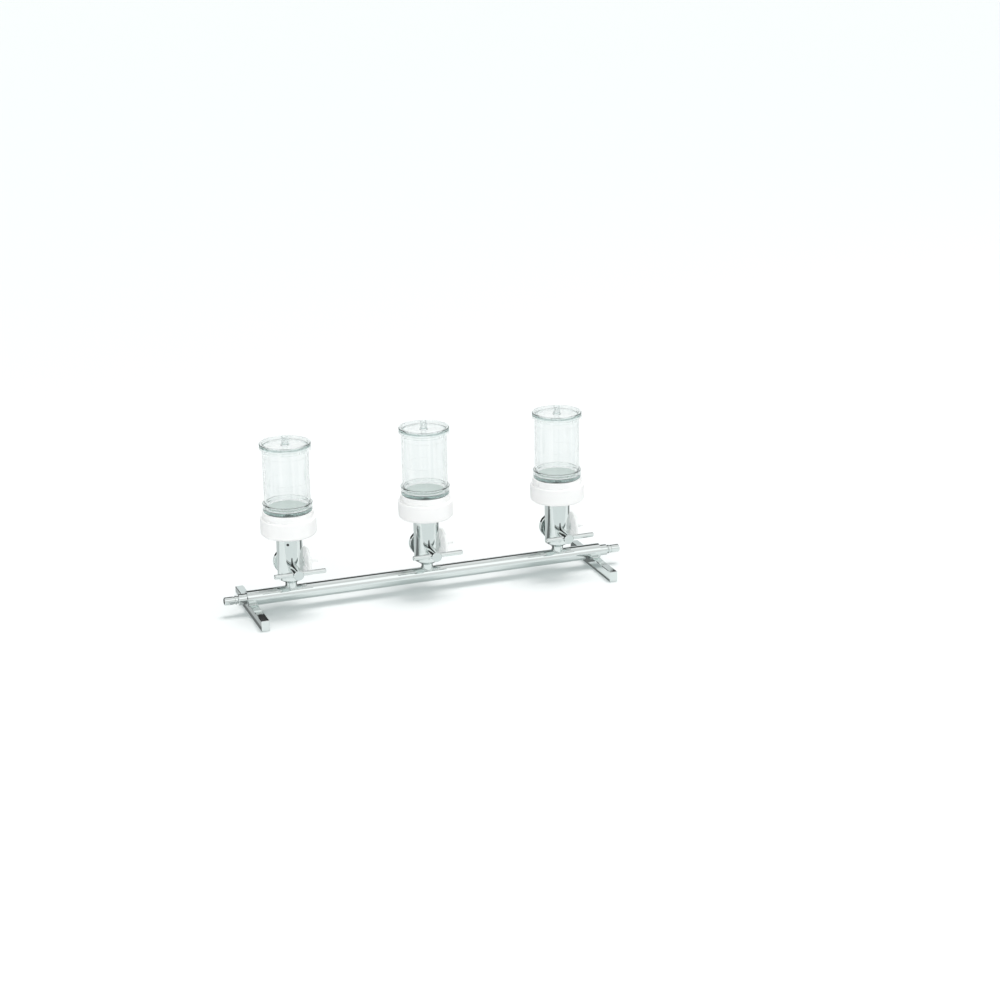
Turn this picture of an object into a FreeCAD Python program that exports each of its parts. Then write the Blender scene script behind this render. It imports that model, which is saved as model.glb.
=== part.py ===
import FreeCAD, Part
import math
import os

os.makedirs("parts", exist_ok=True)
Vector = FreeCAD.Vector

# Three stations stand in a row along X on one suction pipe. The origin is on
# the bench under the middle station; the turning handles face -Y.
station_names = ("left", "middle", "right")
station_pitch = 158.0

# Clearances
weld_gap = 0.05
seat_gap = 0.1
push_gap = 0.3
key_running_gap = 0.05
press_gap = 0.01

# Suction pipe and the two foot bars it is welded to
pipe_radius = 8.6
pipe_wall = 2.0
pipe_overhang = 51.0
foot_width = 9.1
foot_height = 12.1
foot_length = 118.5
foot_inset = 6.0
foot_chamfer = 0.5
saddle_depth = 2.7

# Hose nozzles in both pipe ends
nozzle_spigot_length = 10.0
nozzle_sleeve_radius = 6.2
nozzle_sleeve_length = 9.5
nozzle_groove_radius = 4.1
nozzle_groove_length = 2.2
nozzle_ring_radius = 4.9
nozzle_ring_length = 1.4
nozzle_tube_radius = 4.5
nozzle_tube_length = 9.7
nozzle_bore_radius = 3.4
nozzle_chamfer = 0.35

# Valve body: neck welded into the pipe, cone, and straight column
neck_radius = 6.3
neck_exposed = 4.3
neck_bore_radius = 3.0
cone_height = 5.3
column_radius = 14.3
column_height = 52.6
column_bore_radius = 4.0
column_chamfer = 0.6
counterbore_spare_depth = 1.0

# Tapered three-way key, turning about Y
key_height = 13.6
key_radius = 5.6
key_taper = 0.1
key_exposed = 22.7
key_port_radius = 2.5
key_end_chamfer = 0.5
stud_radius = 2.8
stud_length = 6.4
rear_flat_depth = 1.8
washer_radius = 6.9
washer_thickness = 1.0
disc_spring_inset = 0.3
disc_spring_thickness = 0.6
disc_spring_rise = 1.0
cap_radius = 14.5
cap_wall = 1.6
cap_recess = 2.0
cap_floor = 3.6
cap_dome_radius = 6.5
cap_dome_height = 2.8
cap_edge = 0.5

# Cross lever through the front end of the key
lever_radius = 2.5
lever_length = 58.0
lever_setback = 6.3
lever_shift = 2.7
lever_round = 1.2

# Vent port screwed into the column's right side, a female Luer taper. It lies a
# little above the key, so the drilling that joins them slants down.
vent_rise = 3.0
port_radius = 3.6
port_depth = 4.3
port_flat_depth = 0.7
port_flange_radius = 5.2
port_flange_thickness = 1.4
port_passage_radius = 1.2
luer_mouth_radius = 2.15
luer_taper = 0.06
luer_depth = 5.0

# Vent filter: two welded disc shells around a membrane, ribbed outside
vent_disc_radius = 16.3
vent_shell_rim = 1.6
vent_shell_rise = 1.4
vent_hub_radius = 4.5
vent_seam_width = 2.5
vent_cavity_depth = 0.8
vent_membrane_thickness = 0.3
vent_membrane_gap = 0.2
vent_stub_radius = 2.5
vent_stub_length = 9.7
vent_stub_bore_radius = 1.5
vent_nose_bore_radius = 1.0
vent_rim_round = 0.7
vent_rib_count = 10
vent_rib_width = 0.8
vent_rib_rise = 0.45
vent_rib_inset = 1.0

# White base that carries the funnel, its spigot in the column's counterbore
base_step = 2.5
base_ring_height = 19.8
base_bottom_round = 4.0
base_top_round = 1.0
base_cup_depth = 2.0
base_spigot_radius = 9.5
base_spigot_length = 18.0
base_throat_radius = 6.0
base_throat_depth = 13.0
collar_margin = 1.3
collar_height = 6.9
collar_recess_depth = 3.0
collar_slot_count = 6
collar_slot_width = 1.2
collar_slot_depth = 0.5
oring_section_radius = 0.85
oring_from_tip = 2.6
set_screw_radius = 1.45
set_screw_drop = 8.4
set_screw_recess = 0.4
hex_socket_flats = 1.5
hex_socket_depth = 1.6
set_screw_angles = {"left": -111.0, "middle": 69.0, "right": 69.0}
base_turns = {"left": 30.0, "middle": 8.0, "right": 20.0}

# Gasket under the clear dish
gasket_width = 1.2
gasket_thickness = 0.8

# Clear dish that holds the 47 mm membrane
dish_wall = 1.5
dish_floor = 2.3
dish_wall_height = 8.9
dish_bead = 0.4
dish_bead_height = 1.2
dish_ring_inset = 2.8
dish_ring_wall = 1.7
dish_ring_length = 2.9
dish_ledge_width = 1.1
dish_support_height = 1.0
dish_rib_count = 12
dish_rib_width = 1.2
dish_rib_start = 4.5
outlet_radius = 3.9
outlet_bore_radius = 2.2
outlet_length = 12.2
membrane_radius = 23.5
membrane_thickness = 0.3

# Clear funnel tube with a clamping foot and two moulded rings. The shares of its
# height put them at 50 and 100 ml.
tube_wall = 1.5
tube_height = 68.5
foot_lip_width = 2.0
foot_lip_height = 0.9
foot_lip_slope = 2.6
volume_ring_width = 0.6
volume_ring_relief = 0.15
volume_ring_shares = (0.42, 0.84)

# Clear lid with a raised rim, an inner plug and a vent spigot
lid_overhang = 2.85
lid_skirt_drop = 1.6
lid_plate = 1.4
lid_rim_rise = 2.5
lid_rim_width = 2.6
lid_rim_slope = 0.6
lid_rim_round = 0.6
lid_plug_wall = 1.4
lid_plug_length = 5.6
lid_lug_count = 8
lid_lug_width = 3.0
lid_lug_drop = 2.6
lid_lug_depth = 1.2
spigot_radius = 3.75
spigot_tip_radius = 3.4
spigot_root_radius = 5.0
spigot_root_height = 0.8
spigot_height = 9.2
spigot_bore_radius = 1.8
spigot_bore_depth = 7.4

# Places that follow from the sizes
station_span = station_pitch * (len(station_names) - 1)
pipe_half_length = station_span / 2 + pipe_overhang
pipe_bore_radius = pipe_radius - pipe_wall
pipe_z = foot_height - saddle_depth + pipe_radius
pipe_top_z = pipe_z + pipe_radius
foot_x = pipe_half_length - foot_inset
neck_bottom_z = pipe_top_z - 2 * pipe_wall
cone_bottom_z = pipe_top_z + neck_exposed
column_bottom_z = cone_bottom_z + cone_height
column_top_z = column_bottom_z + column_height
counterbore_radius = base_spigot_radius + weld_gap
counterbore_floor_z = column_top_z - base_spigot_length - counterbore_spare_depth
key_z = column_bottom_z + key_height
vent_z = key_z + vent_rise
key_front_y = -(column_radius + key_exposed)
lever_y = key_front_y + lever_setback
rear_flat_y = column_radius - rear_flat_depth
washer_y = rear_flat_y + seat_gap
spring_y = washer_y + washer_thickness
disc_spring_radius = washer_radius - disc_spring_inset
disc_spring_height = disc_spring_rise + disc_spring_thickness
cap_floor_y = spring_y + 2 * disc_spring_height + 2 * weld_gap
port_flat_x = column_radius - port_flat_depth
port_inner_x = port_flat_x - port_depth
port_face_x = port_flat_x + port_flange_thickness
filter_x = port_face_x + push_gap
filter_seam_x = filter_x + vent_shell_rise + vent_shell_rim
filter_front_x = filter_seam_x + vent_shell_rim + vent_shell_rise
vent_cavity_radius = vent_disc_radius - vent_seam_width
vent_rib_start = port_flange_radius + vent_rib_inset
base_bottom_z = column_top_z - base_cup_depth
base_ring_top_z = base_bottom_z + base_ring_height
collar_top_z = base_ring_top_z + collar_height
recess_floor_z = collar_top_z - collar_recess_depth
spigot_tip_z = column_top_z - base_spigot_length
gasket_top_z = collar_top_z + gasket_thickness
dish_z = gasket_top_z + seat_gap
dish_floor_z = dish_z + dish_floor
support_z = dish_floor_z + dish_support_height
membrane_z = support_z + weld_gap
membrane_top_z = membrane_z + membrane_thickness
tube_bottom_z = membrane_top_z + seat_gap
tube_radius = membrane_radius + tube_wall
tube_top_z = tube_bottom_z + tube_height
foot_lip_radius = membrane_radius - foot_lip_width
dish_inner_radius = tube_radius + push_gap
dish_radius = dish_inner_radius + dish_wall
dish_ring_radius = dish_radius - dish_ring_inset
dish_ledge_radius = membrane_radius - dish_ledge_width
collar_recess_radius = dish_ring_radius + push_gap
collar_radius = dish_radius + collar_margin
base_radius = collar_radius + base_step
gasket_inner_radius = collar_recess_radius + seat_gap
gasket_outer_radius = gasket_inner_radius + gasket_width
lid_z = tube_top_z + seat_gap
lid_top_z = lid_z + lid_plate + lid_rim_rise
lid_radius = tube_radius + lid_overhang
lid_channel_radius = tube_radius + push_gap
lid_plug_radius = membrane_radius - push_gap


def key_radius_at(y):
    """Radius of the tapered key where it passes y."""
    return key_radius - key_taper / 2 * (y + column_radius)


def luer_radius_at(x):
    """Radius of the female Luer taper at x, narrowing into the port."""
    return luer_mouth_radius - luer_taper / 2 * (port_face_x - x)


def turned(points):
    """Solid of revolution about Z from (radius, height) points."""
    corners = [Vector(radius, 0, height) for radius, height in points]
    outline = Part.makePolygon(corners + corners[:1])
    return Part.Face(outline).revolve(Vector(0, 0, 0), Vector(0, 0, 1), 360)


def along_x(shape):
    """Lay a shape that stands along Z along X."""
    shape.rotate(Vector(0, 0, 0), Vector(0, 1, 0), 90)
    return shape


def turned_along_x(points):
    """Solid of revolution about X from (radius, x) points."""
    return along_x(turned(points))


def turned_along_y(points):
    """Solid of revolution about Y from (radius, y) points."""
    shape = turned(points)
    shape.rotate(Vector(0, 0, 0), Vector(1, 0, 0), -90)
    return shape


def ring(inner, outer, low, high):
    """Section corners of a plain ring, for the turning functions."""
    return [(inner, low), (outer, low), (outer, high), (inner, high)]


def rod(radius, start, end):
    """Round bar from start to end."""
    along = end - start
    return Part.makeCylinder(radius, along.Length, start, along)


def rim_edges(shape, radius, height):
    """Circular edges about Z of one radius at one height."""
    found = []
    for edge in shape.Edges:
        curve = edge.Curve
        if isinstance(curve, Part.Circle):
            same_radius = abs(curve.Radius - radius) < 0.001
            if same_radius and abs(curve.Center.z - height) < 0.001:
                found.append(edge)
    return found


def around_z(shape, count, start_angle=0.0):
    """Copies of a shape, evenly spaced about Z."""
    copies = []
    for index in range(count):
        copy = shape.copy()
        angle = start_angle + index * 360.0 / count
        copy.rotate(Vector(0, 0, 0), Vector(0, 0, 1), angle)
        copies.append(copy)
    return copies


def manifold_pipe(stations):
    """Long pipe with one branch hole under each station."""
    half = pipe_half_length
    pipe = turned_along_x(ring(pipe_bore_radius, pipe_radius, -half, half))
    pipe.translate(Vector(0, 0, pipe_z))
    for x in stations:
        start = Vector(x, 0, pipe_z)
        pipe = pipe.cut(rod(neck_radius + weld_gap, start, start + Vector(0, 0, 2 * pipe_radius)))
    return pipe


def foot_bar(x):
    """Bar across the pipe with a saddle on top that the pipe is welded in."""
    corner = Vector(x - foot_width / 2, -foot_length / 2, 0)
    bar = Part.makeBox(foot_width, foot_length, foot_height, corner)
    bar = bar.makeChamfer(foot_chamfer, bar.Edges)
    start = Vector(x - foot_width, 0, pipe_z)
    return bar.cut(rod(pipe_radius + weld_gap, start, start + Vector(2 * foot_width, 0, 0)))


def hose_nozzle(side):
    """Stepped nozzle: spigot in the pipe, sleeve, ringed groove and hose tube."""
    sleeve_x = pipe_half_length + nozzle_sleeve_length
    ring_x = sleeve_x + nozzle_groove_length
    ring_end_x = ring_x + nozzle_ring_length
    tube_x = ring_end_x + nozzle_groove_length
    tip_x = tube_x + nozzle_tube_length
    spigot_radius_in_pipe = pipe_bore_radius - weld_gap
    shape = turned_along_x([
        (nozzle_bore_radius, pipe_half_length - nozzle_spigot_length),
        (spigot_radius_in_pipe, pipe_half_length - nozzle_spigot_length),
        (spigot_radius_in_pipe, pipe_half_length),
        (nozzle_sleeve_radius, pipe_half_length),
        (nozzle_sleeve_radius, sleeve_x - nozzle_chamfer),
        (nozzle_sleeve_radius - nozzle_chamfer, sleeve_x),
        (nozzle_groove_radius, sleeve_x),
        (nozzle_groove_radius, ring_x),
        (nozzle_ring_radius, ring_x),
        (nozzle_ring_radius, ring_end_x),
        (nozzle_groove_radius, ring_end_x),
        (nozzle_groove_radius, tube_x),
        (nozzle_tube_radius, tube_x),
        (nozzle_tube_radius, tip_x - nozzle_chamfer),
        (nozzle_tube_radius - nozzle_chamfer, tip_x),
        (nozzle_bore_radius, tip_x),
    ])
    if side < 0:
        shape.rotate(Vector(0, 0, 0), Vector(0, 0, 1), 180)
    shape.translate(Vector(0, 0, pipe_z))
    return shape


def valve_body(name):
    """Column with the neck, key bore, vent port seat and spigot counterbore."""
    body = turned([
        (neck_bore_radius, neck_bottom_z),
        (neck_radius, neck_bottom_z),
        (neck_radius, cone_bottom_z),
        (column_radius, column_bottom_z),
        (column_radius, column_top_z - column_chamfer),
        (column_radius - column_chamfer, column_top_z),
        (counterbore_radius, column_top_z),
        (counterbore_radius, counterbore_floor_z),
        (column_bore_radius, counterbore_floor_z),
        (column_bore_radius, key_z),
        (neck_bore_radius, key_z),
    ])
    low_y = -2 * column_radius
    high_y = 2 * column_radius
    key_bore = turned_along_y([
        (0, low_y),
        (key_radius_at(low_y) + key_running_gap, low_y),
        (key_radius_at(high_y) + key_running_gap, high_y),
        (0, high_y),
    ])
    flat_radius = washer_radius + push_gap
    rear_flat = turned_along_y([
        (0, rear_flat_y), (flat_radius, rear_flat_y), (flat_radius, high_y), (0, high_y)])
    port_seat = turned_along_x([
        (0, port_inner_x),
        (port_radius + weld_gap, port_inner_x),
        (port_radius + weld_gap, port_flat_x),
        (port_flange_radius + push_gap, port_flat_x),
        (port_flange_radius + push_gap, high_y),
        (0, high_y),
    ])
    port_seat.translate(Vector(0, 0, vent_z))
    port_end = Vector(port_inner_x + port_passage_radius, 0, vent_z)
    passage = rod(port_passage_radius, Vector(0, 0, key_z), port_end)
    body = body.cut(port_seat).cut(passage)
    for cutter in (key_bore, rear_flat):
        cutter.translate(Vector(0, 0, key_z))
        body = body.cut(cutter)
    screw_hole = rod(set_screw_radius + weld_gap, Vector(0, 0, 0), Vector(2 * column_radius, 0, 0))
    screw_hole.rotate(Vector(0, 0, 0), Vector(0, 0, 1), set_screw_angles[name])
    screw_hole.translate(Vector(0, 0, base_bottom_z - set_screw_drop))
    return body.cut(screw_hole)


def valve_key():
    """Round stem in front, ported taper in the column, threaded stud behind."""
    taper_end_y = spring_y
    stud_end_y = taper_end_y + stud_length
    key = turned_along_y([
        (0, key_front_y),
        (key_radius - key_end_chamfer, key_front_y),
        (key_radius, key_front_y + key_end_chamfer),
        (key_radius, -column_radius),
        (key_radius_at(taper_end_y), taper_end_y),
        (stud_radius, taper_end_y),
        (stud_radius, stud_end_y),
        (0, stud_end_y),
    ])
    reach = 2 * key_radius
    through_port = rod(key_port_radius, Vector(0, 0, -reach), Vector(0, 0, reach))
    side_port = rod(key_port_radius, Vector(0, 0, 0), Vector(-reach, 0, 0))
    lever_hole = rod(lever_radius + press_gap, Vector(-reach, lever_y, 0), Vector(reach, lever_y, 0))
    key = key.cut(through_port.fuse(side_port)).cut(lever_hole)
    key.translate(Vector(0, 0, key_z))
    return key


def key_lever():
    """Straight cross bar with rounded ends, pushed through a little off its middle."""
    left_x = lever_shift - lever_length / 2
    left_end = Vector(left_x, lever_y, key_z)
    bar = rod(lever_radius, left_end, left_end + Vector(lever_length, 0, 0))
    ends = [edge for edge in bar.Edges if isinstance(edge.Curve, Part.Circle)]
    return bar.makeFillet(lever_round, ends)


def key_washer():
    """Flat washer on the column's rear flat."""
    inner = key_radius_at(washer_y) + push_gap
    washer = turned_along_y(ring(inner, washer_radius, washer_y, spring_y))
    washer.translate(Vector(0, 0, key_z))
    return washer


def key_spring():
    """Two disc springs set back to back, which pull the key into its taper."""
    inner = stud_radius + push_gap
    touch_y = spring_y + weld_gap
    middle_y = touch_y + disc_spring_height
    first = turned_along_y([
        (disc_spring_radius, touch_y),
        (disc_spring_radius, touch_y + disc_spring_thickness),
        (inner, middle_y),
        (inner, middle_y - disc_spring_thickness),
    ])
    second = first.mirror(Vector(0, middle_y + weld_gap / 2, 0), Vector(0, 1, 0))
    pair = Part.makeCompound([first, second])
    pair.translate(Vector(0, 0, key_z))
    return pair


def key_cap():
    """Cup nut with a domed back that holds the springs on the stud."""
    rim_y = cap_floor_y - cap_recess
    back_y = cap_floor_y + cap_floor
    stud_hole_end_y = spring_y + stud_length + push_gap
    cap = turned_along_y([
        (stud_radius + press_gap, cap_floor_y),
        (cap_radius - cap_wall, cap_floor_y),
        (cap_radius - cap_wall, rim_y),
        (cap_radius - cap_edge, rim_y),
        (cap_radius, rim_y + cap_edge),
        (cap_radius, back_y - cap_edge),
        (cap_radius - cap_edge, back_y),
        (cap_dome_radius, back_y),
        (cap_dome_radius - cap_edge, back_y + cap_dome_height - cap_edge),
        (cap_dome_radius - 3 * cap_edge, back_y + cap_dome_height),
        (0, back_y + cap_dome_height),
        (0, stud_hole_end_y),
        (stud_radius + press_gap, stud_hole_end_y),
    ])
    cap.translate(Vector(0, 0, key_z))
    return cap


def vent_port():
    """Screwed-in port with a flange and a female Luer taper."""
    luer_end_x = port_face_x - luer_depth
    port = turned_along_x([
        (port_passage_radius, port_inner_x),
        (port_radius, port_inner_x),
        (port_radius, port_flat_x),
        (port_flange_radius, port_flat_x),
        (port_flange_radius, port_face_x),
        (luer_mouth_radius, port_face_x),
        (luer_radius_at(luer_end_x), luer_end_x),
        (port_passage_radius, luer_end_x),
    ])
    port.translate(Vector(0, 0, vent_z))
    return port


def vent_ribs(hub_x, rim_x, rise):
    """Low radial ribs on a vent shell's cone, standing along Z like the shell."""
    rim_radius = vent_disc_radius - vent_rim_round
    slope = (rim_x - hub_x) / (rim_radius - vent_hub_radius)
    start_x = hub_x + slope * (vent_rib_start - vent_hub_radius)
    side_y = -vent_rib_width / 2
    corners = [
        Vector(vent_rib_start, side_y, start_x + rise),
        Vector(rim_radius, side_y, rim_x + rise),
        Vector(rim_radius, side_y, rim_x),
        Vector(vent_rib_start, side_y, rim_x),
    ]
    outline = Part.Face(Part.makePolygon(corners + corners[:1]))
    return around_z(outline.extrude(Vector(0, vent_rib_width, 0)), vent_rib_count)


def vent_filter_inlet():
    """Half shell with the male Luer nose that plugs into the vent port."""
    tip_x = port_face_x - luer_depth + push_gap
    rim_x = filter_x + vent_shell_rise
    shell = turned([
        (vent_nose_bore_radius, tip_x),
        (luer_radius_at(tip_x) - key_running_gap, tip_x),
        (luer_mouth_radius - key_running_gap, port_face_x),
        (luer_mouth_radius - key_running_gap, filter_x),
        (vent_hub_radius, filter_x),
        (vent_disc_radius - vent_rim_round, rim_x),
        (vent_disc_radius, rim_x + vent_rim_round),
        (vent_disc_radius, filter_seam_x),
        (vent_cavity_radius, filter_seam_x),
        (vent_cavity_radius, filter_seam_x - vent_cavity_depth),
        (vent_nose_bore_radius, filter_seam_x - vent_cavity_depth),
    ])
    shell = shell.fuse(vent_ribs(filter_x, rim_x, -vent_rib_rise)).removeSplitter()
    shell = along_x(shell)
    shell.translate(Vector(0, 0, vent_z))
    return shell


def vent_filter_outlet():
    """Half shell with the outlet stub."""
    rim_x = filter_seam_x + vent_shell_rim
    stub_x = filter_front_x + vent_stub_length
    shell = turned([
        (vent_stub_bore_radius, filter_seam_x + vent_cavity_depth),
        (vent_cavity_radius, filter_seam_x + vent_cavity_depth),
        (vent_cavity_radius, filter_seam_x),
        (vent_disc_radius, filter_seam_x),
        (vent_disc_radius, rim_x - vent_rim_round),
        (vent_disc_radius - vent_rim_round, rim_x),
        (vent_hub_radius, filter_front_x),
        (vent_stub_radius, filter_front_x),
        (vent_stub_radius, stub_x),
        (vent_stub_bore_radius, stub_x),
    ])
    shell = shell.fuse(vent_ribs(filter_front_x, rim_x, vent_rib_rise)).removeSplitter()
    shell = along_x(shell)
    shell.translate(Vector(0, 0, vent_z))
    return shell


def vent_filter_membrane():
    """Membrane disc in the cavity between the two shells."""
    half = vent_membrane_thickness / 2
    radius = vent_cavity_radius - vent_membrane_gap
    start = Vector(filter_seam_x - half, 0, vent_z)
    return rod(radius, start, start + Vector(vent_membrane_thickness, 0, 0))


def funnel_base(name):
    """White base: ring, slotted collar with a recess, and the spigot in the column."""
    throat_z = recess_floor_z - base_throat_depth
    oring_z = spigot_tip_z + oring_from_tip
    groove_radius = counterbore_radius - 2 * oring_section_radius
    ring_edge = base_radius - base_top_round
    base = turned([
        (base_radius, base_bottom_z),
        (base_radius, base_ring_top_z - base_top_round),
        (ring_edge, base_ring_top_z),
        (collar_radius, base_ring_top_z),
        (collar_radius, collar_top_z),
        (collar_recess_radius, collar_top_z),
        (collar_recess_radius, recess_floor_z),
        (base_throat_radius, recess_floor_z),
        (base_throat_radius, throat_z),
        (column_bore_radius, throat_z),
        (column_bore_radius, spigot_tip_z),
        (base_spigot_radius, spigot_tip_z),
        (base_spigot_radius, oring_z - oring_section_radius),
        (groove_radius, oring_z - oring_section_radius),
        (groove_radius, oring_z + oring_section_radius),
        (base_spigot_radius, oring_z + oring_section_radius),
        (base_spigot_radius, column_top_z),
        (column_radius + weld_gap, column_top_z),
        (column_radius + weld_gap, base_bottom_z),
    ])
    base = base.makeFillet(base_bottom_round, rim_edges(base, base_radius, base_bottom_z))
    slot_x = collar_radius - collar_slot_depth
    slot_corner = Vector(slot_x, -collar_slot_width / 2, base_ring_top_z)
    slot = Part.makeBox(2 * collar_slot_depth, collar_slot_width, collar_height, slot_corner)
    return base.cut(around_z(slot, collar_slot_count, base_turns[name]))


def base_oring():
    """O-ring in the spigot's groove."""
    middle_radius = counterbore_radius - oring_section_radius
    centre = Vector(0, 0, spigot_tip_z + oring_from_tip)
    return Part.makeTorus(middle_radius, oring_section_radius - press_gap, centre)


def base_set_screw(name):
    """Grub screw through the column's wall, bearing on the base's spigot."""
    inner = base_spigot_radius + seat_gap
    outer = column_radius - set_screw_recess
    screw = rod(set_screw_radius, Vector(inner, 0, 0), Vector(outer, 0, 0))
    across_corners = hex_socket_flats / math.cos(math.pi / 6)
    corners = []
    for index in range(6):
        angle = index * math.pi / 3
        across = across_corners / 2 * math.cos(angle)
        up = across_corners / 2 * math.sin(angle)
        corners.append(Vector(outer - hex_socket_depth, across, up))
    socket_face = Part.Face(Part.makePolygon(corners + corners[:1]))
    screw = screw.cut(socket_face.extrude(Vector(2 * hex_socket_depth, 0, 0)))
    screw.rotate(Vector(0, 0, 0), Vector(0, 0, 1), set_screw_angles[name])
    screw.translate(Vector(0, 0, base_bottom_z - set_screw_drop))
    return screw


def seat_gasket():
    """Flat dark gasket between the collar and the dish."""
    return turned(ring(gasket_inner_radius, gasket_outer_radius, collar_top_z, gasket_top_z))


def filter_dish():
    """Clear dish with a ribbed membrane support and an outlet down the middle."""
    wall_top_z = dish_z + dish_wall_height
    outlet_tip_z = dish_z - outlet_length
    ring_tip_z = dish_z - dish_ring_length
    bead_z = wall_top_z - dish_bead_height
    dish = turned([
        (outlet_bore_radius, outlet_tip_z),
        (outlet_radius, outlet_tip_z),
        (outlet_radius, dish_z),
        (dish_ring_radius - dish_ring_wall, dish_z),
        (dish_ring_radius - dish_ring_wall, ring_tip_z),
        (dish_ring_radius, ring_tip_z),
        (dish_ring_radius, dish_z),
        (dish_radius, dish_z),
        (dish_radius, bead_z),
        (dish_radius + dish_bead, bead_z + dish_bead),
        (dish_radius + dish_bead, wall_top_z - dish_bead),
        (dish_radius, wall_top_z),
        (dish_inner_radius, wall_top_z),
        (dish_inner_radius, support_z),
        (dish_ledge_radius, support_z),
        (dish_ledge_radius, dish_floor_z),
        (outlet_bore_radius, dish_floor_z),
    ])
    rib_length = dish_ledge_radius - dish_rib_start + seat_gap
    corner = Vector(dish_rib_start, -dish_rib_width / 2, dish_floor_z - seat_gap)
    rib = Part.makeBox(rib_length, dish_rib_width, dish_support_height + seat_gap, corner)
    return dish.fuse(around_z(rib, dish_rib_count)).removeSplitter()


def membrane_filter():
    """Round 47 mm filter membrane on the dish's ribs."""
    return rod(membrane_radius, Vector(0, 0, membrane_z), Vector(0, 0, membrane_top_z))


def funnel_tube():
    """Clear tube whose foot clamps the membrane, with raised volume rings."""
    raised_radius = tube_radius + volume_ring_relief
    outside = [(tube_radius, tube_bottom_z)]
    for share in volume_ring_shares:
        level_z = tube_bottom_z + share * tube_height
        outside += [
            (tube_radius, level_z),
            (raised_radius, level_z),
            (raised_radius, level_z + volume_ring_width),
            (tube_radius, level_z + volume_ring_width),
        ]
    outside.append((tube_radius, tube_top_z))
    inside = [
        (membrane_radius, tube_top_z),
        (membrane_radius, tube_bottom_z + foot_lip_height + foot_lip_slope),
        (foot_lip_radius, tube_bottom_z + foot_lip_height),
        (foot_lip_radius, tube_bottom_z),
    ]
    return turned(outside + inside)


def funnel_lid():
    """Clear lid: skirt and plug over the tube's rim, raised edge and spigot."""
    recess_z = lid_z + lid_plate
    skirt_z = lid_z - lid_skirt_drop
    plug_z = lid_z - lid_plug_length
    rim_inner_radius = lid_radius - lid_rim_width
    spigot_top_z = recess_z + spigot_height
    lid = turned([
        (0, lid_z),
        (lid_plug_radius - lid_plug_wall, lid_z),
        (lid_plug_radius - lid_plug_wall, plug_z),
        (lid_plug_radius, plug_z),
        (lid_plug_radius, lid_z),
        (lid_channel_radius, lid_z),
        (lid_channel_radius, skirt_z),
        (lid_radius, skirt_z),
        (lid_radius, lid_top_z - lid_rim_round),
        (lid_radius - lid_rim_round, lid_top_z),
        (rim_inner_radius, lid_top_z),
        (rim_inner_radius - lid_rim_slope, recess_z),
        (spigot_root_radius, recess_z),
        (spigot_radius, recess_z + spigot_root_height),
        (spigot_tip_radius, spigot_top_z),
        (spigot_bore_radius, spigot_top_z),
        (spigot_bore_radius, spigot_top_z - spigot_bore_depth),
        (0, spigot_top_z - spigot_bore_depth),
    ])
    band = turned(ring(lid_radius - lid_lug_depth, lid_radius, skirt_z - lid_lug_drop, skirt_z))
    corner = Vector(0, -lid_lug_width / 2, skirt_z - lid_lug_drop)
    block = Part.makeBox(2 * lid_radius, lid_lug_width, lid_lug_drop, corner)
    lug = band.common(block)
    return lid.fuse(around_z(lug, lid_lug_count, 180.0 / lid_lug_count)).removeSplitter()


def save(name, shape, x=0.0):
    """Write one piece, moved to its station, and print what it measures."""
    shape = shape.copy()
    shape.translate(Vector(x, 0, 0))
    shape.exportStep("parts/" + name + ".step")
    box = shape.BoundBox
    sizes = (box.XLength, box.YLength, box.ZLength)
    print(name, "solids", len(shape.Solids), "valid", shape.isValid(),
          "size", [round(size, 2) for size in sizes])


station_x = [index * station_pitch - station_span / 2 for index in range(len(station_names))]
save("manifold_pipe", manifold_pipe(station_x))
save("foot_left", foot_bar(-foot_x))
save("foot_right", foot_bar(foot_x))
save("hose_nozzle_left", hose_nozzle(-1))
save("hose_nozzle_right", hose_nozzle(1))

shared_pieces = {
    "valve_key": valve_key(),
    "key_lever": key_lever(),
    "key_washer": key_washer(),
    "key_spring": key_spring(),
    "key_cap": key_cap(),
    "vent_port": vent_port(),
    "vent_filter_inlet": vent_filter_inlet(),
    "vent_filter_outlet": vent_filter_outlet(),
    "vent_filter_membrane": vent_filter_membrane(),
    "base_oring": base_oring(),
    "seat_gasket": seat_gasket(),
    "filter_dish": filter_dish(),
    "membrane_filter": membrane_filter(),
    "funnel_tube": funnel_tube(),
    "funnel_lid": funnel_lid(),
}
for name, x in zip(station_names, station_x):
    save("valve_body_" + name, valve_body(name), x)
    save("base_set_screw_" + name, base_set_screw(name), x)
    save("funnel_base_" + name, funnel_base(name), x)
    for piece, shape in shared_pieces.items():
        save(piece + "_" + name, shape, x)
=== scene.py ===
# %% [markdown]
# # A bench vacuum manifold, dressed for a studio photograph
#
# The object is a polished steel suction pipe on two foot bars. Three plug valves
# stand on it, each with a white vent filter at its side and a clear, lidded filter
# funnel on a white base. The solids come from the CAD model, which is the frame of
# everything here: it holds the true sizes, so this script never moves a CAD piece.
# It adds what CAD leaves out, which is finish, weld seams, light and a camera.

# %% Load the frame
import bpy
import bmesh
import math
from mathutils import Matrix, Vector


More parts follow.
